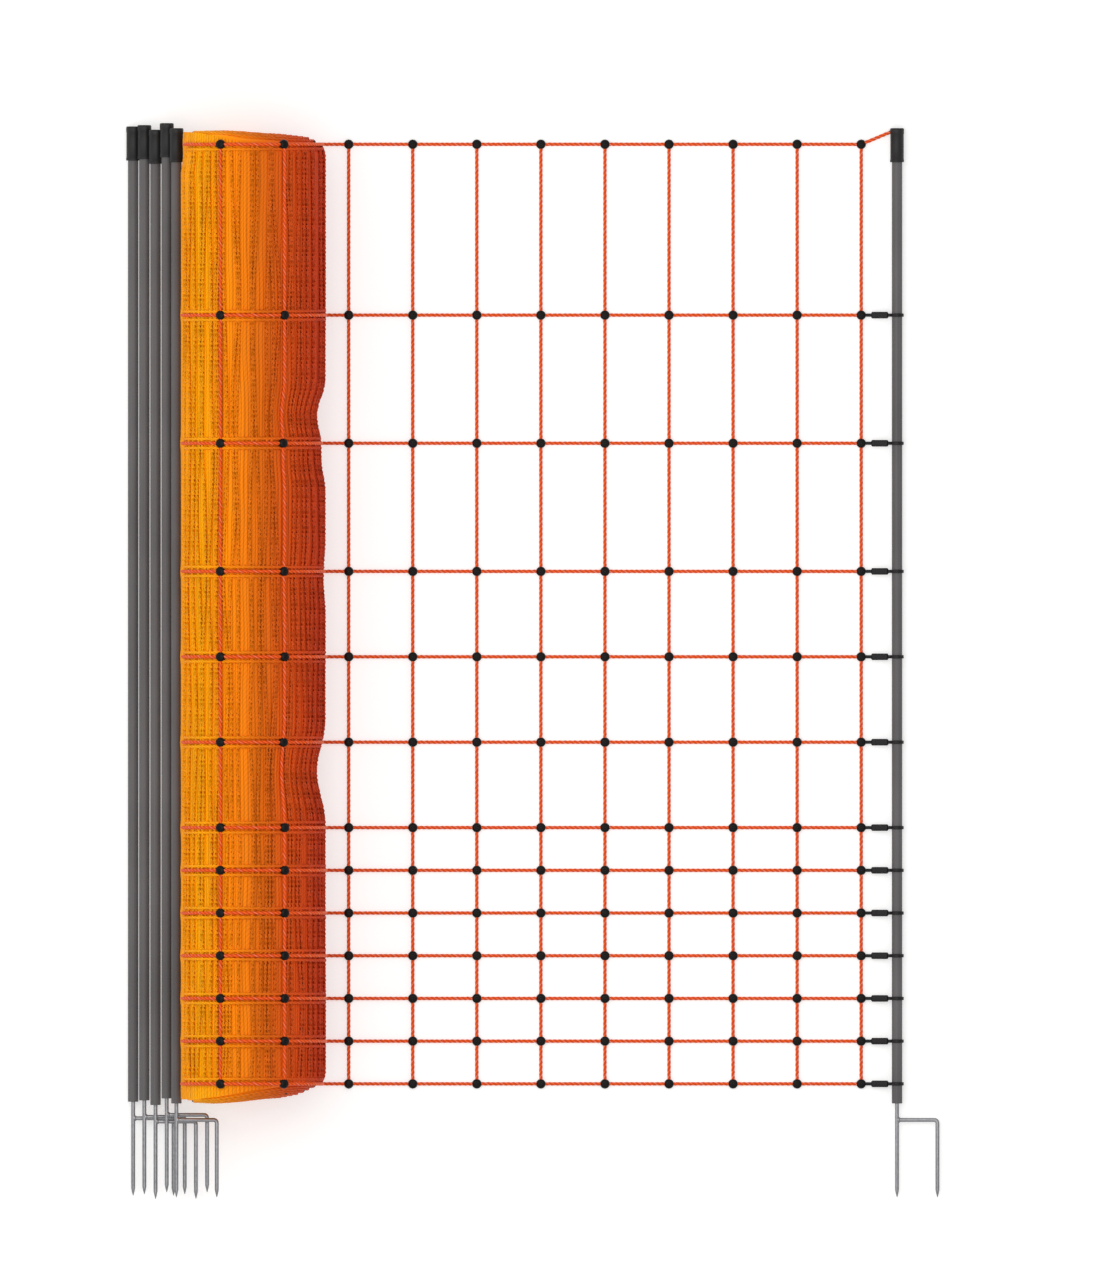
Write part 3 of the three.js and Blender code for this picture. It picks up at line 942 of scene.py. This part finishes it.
def lengthen(bm, rim, move):
    """Draws an open rim of edges out by move, and returns the new rim."""
    grown = bmesh.ops.extrude_edge_only(bm, edges=rim)["geom"]
    bmesh.ops.translate(bm, verts=[part for part in grown if isinstance(part, bmesh.types.BMVert)], vec=move)
    return [part for part in grown if isinstance(part, bmesh.types.BMEdge)]


def narrow(bm, rim, share):
    points = rim_points(rim)
    centre = sum((vert.co for vert in points), Vector()) / len(points)
    bmesh.ops.scale(bm, verts=points, vec=(share, 1, share), space=Matrix.Translation(-centre))


def bent_leg(radius, spread, step, tip):
    """A rod that runs across at the step, bends down at the spread and ends in a point."""
    bm = bmesh.new()
    bmesh.ops.create_circle(bm, cap_ends=False, radius=radius, segments=ROD_SIDES)
    bmesh.ops.rotate(bm, verts=bm.verts, cent=(0, 0, 0), matrix=Matrix.Rotation(math.pi / 2, 3, "Y"))
    bmesh.ops.translate(bm, verts=bm.verts, vec=(0, step, 0))
    bend = Vector((spread - SPIKE_BEND, step - SPIKE_BEND, 0))
    rim = lengthen(bm, bm.edges[:], (bend.x, 0, 0))
    turned = bmesh.ops.spin(
        bm, geom=rim + rim_points(rim), cent=bend, axis=(0, 0, -1), dvec=(0, 0, 0),
        angle=math.pi / 2, steps=8, use_merge=False, use_duplicate=False,
    )["geom_last"]
    rim = [part for part in turned if isinstance(part, bmesh.types.BMEdge)]
    rim = lengthen(bm, rim, (0, tip + SPIKE_POINT - bend.y, 0))
    for share, drop in ((POINT_MIDDLE, 0.5), (POINT_TIP / POINT_MIDDLE, 0.48)):
        rim = lengthen(bm, rim, (0, -drop * SPIKE_POINT, 0))
        narrow(bm, rim, share)
    close_ends(bm)
    return pattern_mesh("bent_leg_pattern", bm)


def weld_bead(radius, seed):
    """An uneven lump where the bent leg is welded to the straight one."""
    bm = bmesh.new()
    bmesh.ops.create_icosphere(bm, subdivisions=3, radius=1.32 * radius)
    bmesh.ops.scale(bm, verts=bm.verts, vec=(0.9, 1.15, 0.95))
    for vert in bm.verts:
        vert.co *= 1 + 0.1 * noise.noise(vert.co * 900 + Vector((seed, 0, 0)))
    return pattern_mesh("weld_pattern", bm)


def build_spike(node, material):
    """Two pointed legs of round rod: the second is bent from the step that is welded to the first."""
    low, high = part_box(node + "_spike")
    radius = (high.z - low.z) / 2
    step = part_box(node)[0].y - SPIKE_DROP
    spread = high.x - low.x - 2 * radius
    bm = bmesh.new()
    stamp(bm, straight_leg(radius, high.y, low.y))
    stamp(bm, bent_leg(radius, spread, step, low.y))
    stamp(bm, weld_bead(radius, low.x * 90), Matrix.Translation((0.7 * radius, step, 0)))
    bmesh.ops.translate(bm, verts=bm.verts, vec=(low.x + radius, 0, (low.z + high.z) / 2))
    return new_piece(node + "_spike_rods", bm, material, [node + "_spike"], sharp=50)


# Clips

def clip_neck(start, end):
    """A round bar along +Y with a tapered foot."""
    radius = CLIP_NECK / 2
    bm = bmesh.new()
    spin_profile(bm, [
        (0, start), (radius * 0.85, start), (radius, start + 1 * MM), (radius, end), (0, end),
    ], 16)
    return pattern_mesh("neck_pattern", bm)


def clip_box(size, end_corner=0):
    """A box with softened edges, where end_corner is how far the edges of its two ends are cut off."""
    bm = bmesh.new()
    bmesh.ops.create_cube(bm, size=1)
    bmesh.ops.scale(bm, verts=bm.verts, vec=size)
    if end_corner:
        ends = [edge for edge in bm.edges if abs(edge.verts[0].co.y - edge.verts[1].co.y) < TOUCHING]
        bevel(bm, ends, end_corner, 1)
    bevel(bm, bm.edges[:], SOFT_EDGE, 2)
    return pattern_mesh("box_pattern", bm)


def clip_band():
    """A band around the post, with its outer corners cut."""
    half = BAND_WIDTH / 2
    inner = BAND_RADIUS
    outer = BAND_RADIUS + BAND_WALL
    bm = bmesh.new()
    spin_profile(bm, [
        (inner, -half), (outer - BAND_CORNER, -half), (outer, BAND_CORNER - half),
        (outer, half - BAND_CORNER), (outer - BAND_CORNER, half), (inner, half), (inner, -half),
    ], 40)
    return pattern_mesh("band_pattern", bm)


def clip_arm(length):
    """The neck and the ribbed block, along +Y from the joint's centre to the band."""
    block_middle = length - CLIP_POST_DISTANCE - CLIP_LENGTH / 2
    block = clip_box((CLIP_WIDTH, CLIP_LENGTH, CLIP_THICKNESS), CLIP_CORNER)
    rib = clip_box((CLIP_WIDTH * 0.66, RIB_WIDTH, CLIP_THICKNESS + 2 * RIB_HEIGHT))
    bm = bmesh.new()
    stamp(bm, clip_neck(JOINT_DIAMETER / 2 - 1 * MM, length - (BAND_RADIUS + BAND_WALL / 2)))
    stamp(bm, block, Matrix.Translation((0, block_middle, 0)))
    for place in RIB_PLACES:
        stamp(bm, rib, Matrix.Translation((0, block_middle + place, 0)))
    return pattern_mesh("arm_pattern", bm)


def clip_pattern():
    """One clip about the end post's axis: an arm up from the strand's joint and a band around the post."""
    joint_centre = Vector((-END_POST_DISTANCE, 0, STRAND_HEIGHT - END_AXIS.z))
    along = (-joint_centre).normalized()
    across = along.cross(Vector((0, 0, 1))).normalized()
    turn = Matrix((across, along, across.cross(along))).transposed().to_4x4()
    bm = bmesh.new()
    stamp(bm, clip_arm(joint_centre.length), Matrix.Translation(joint_centre) @ turn)
    stamp(bm, clip_band())
    return pattern_mesh("clip_pattern", bm)


def build_clips(material):
    clip = clip_pattern()
    for index, y in enumerate(ROW_HEIGHTS[:-1], start=1):
        bm = bmesh.new()
        stamp(bm, clip, Matrix.Translation((END_AXIS.x, y, END_AXIS.z)))
        node = f"post_clip_{index}"
        new_piece(node + "_moulded", bm, material, [node], sharp=35)


# Studio

def build_floor(material):
    bm = bmesh.new()
    bmesh.ops.create_grid(bm, x_segments=1, y_segments=1, size=9)
    mesh = pattern_mesh("studio_floor", bm)
    mesh.materials.append(material)
    floor = bpy.data.objects.new("studio_floor", mesh)
    bpy.context.scene.collection.objects.link(floor)


def add_light(name, size, power, place, aim):
    light = bpy.data.lights.new(name, "AREA")
    light.shape = "SQUARE"
    light.size = size
    light.energy = power
    lamp = bpy.data.objects.new(name, light)
    lamp.location = place
    lamp.rotation_euler = (Vector(aim) - Vector(place)).to_track_quat("-Z", "Y").to_euler()
    bpy.context.scene.collection.objects.link(lamp)


def build_studio():
    world = bpy.data.worlds.new("soft_white_room")
    world.use_nodes = True
    background = world.node_tree.nodes["Background"]
    background.inputs["Color"].default_value = (1, 1, 1, 1)
    background.inputs["Strength"].default_value = 0.62
    bpy.context.scene.world = world
    add_light("ceiling_softbox", 3.2, 62, (-0.3, 0.2, 3.6), (0, 0, 0))
    add_light("left_softbox", 1.8, 14, (-2.6, 0.6, 1.9), (-0.2, 0, 0))


def build_camera():
    camera = bpy.data.cameras.new("level_view")
    camera.type = "ORTHO"
    camera.ortho_scale = PICTURE_HEIGHT * FLOOR_PER_PIXEL
    camera.clip_end = 20
    holder = bpy.data.objects.new("level_view", camera)
    holder.location = (*PICTURE_CENTRE, CAMERA_HEIGHT)
    bpy.context.scene.collection.objects.link(holder)
    bpy.context.scene.camera = holder


polywire = polyethylene_polywire()
netting = wound_netting()
single_strand = wound_strand()
joint_plastic = moulded_plastic("moulded_joint_plastic", "#080707", "#121110", 0.42, 0.5 * MM, 0.15)
cap_plastic = moulded_plastic("moulded_cap_plastic", "#1B1B1B", "#272727", 0.45, 0.6 * MM, 0.25)
clip_plastic = moulded_plastic("moulded_clip_plastic", "#161415", "#201E1F", 0.45, 0.5 * MM, 0.2)
post_plastic = extruded_plastic()
zinc_steel = galvanised_steel()

build_net_strands(polywire)
build_net_joints(joint_plastic)
build_roll_core(netting)
build_roll_strands(polywire)
build_under_rows(single_strand)
build_under_uprights(single_strand)
build_end_strands(single_strand)
build_end_joints(joint_plastic)
build_roll_joints(joint_plastic)
for post in POSTS:
    build_post(post, post_plastic)
    build_cap(post, cap_plastic)
    build_spike(post, zinc_steel)
build_clips(clip_plastic)
build_floor(painted_floor())
build_studio()
build_camera()
bpy.context.scene.view_settings.view_transform = "Standard"
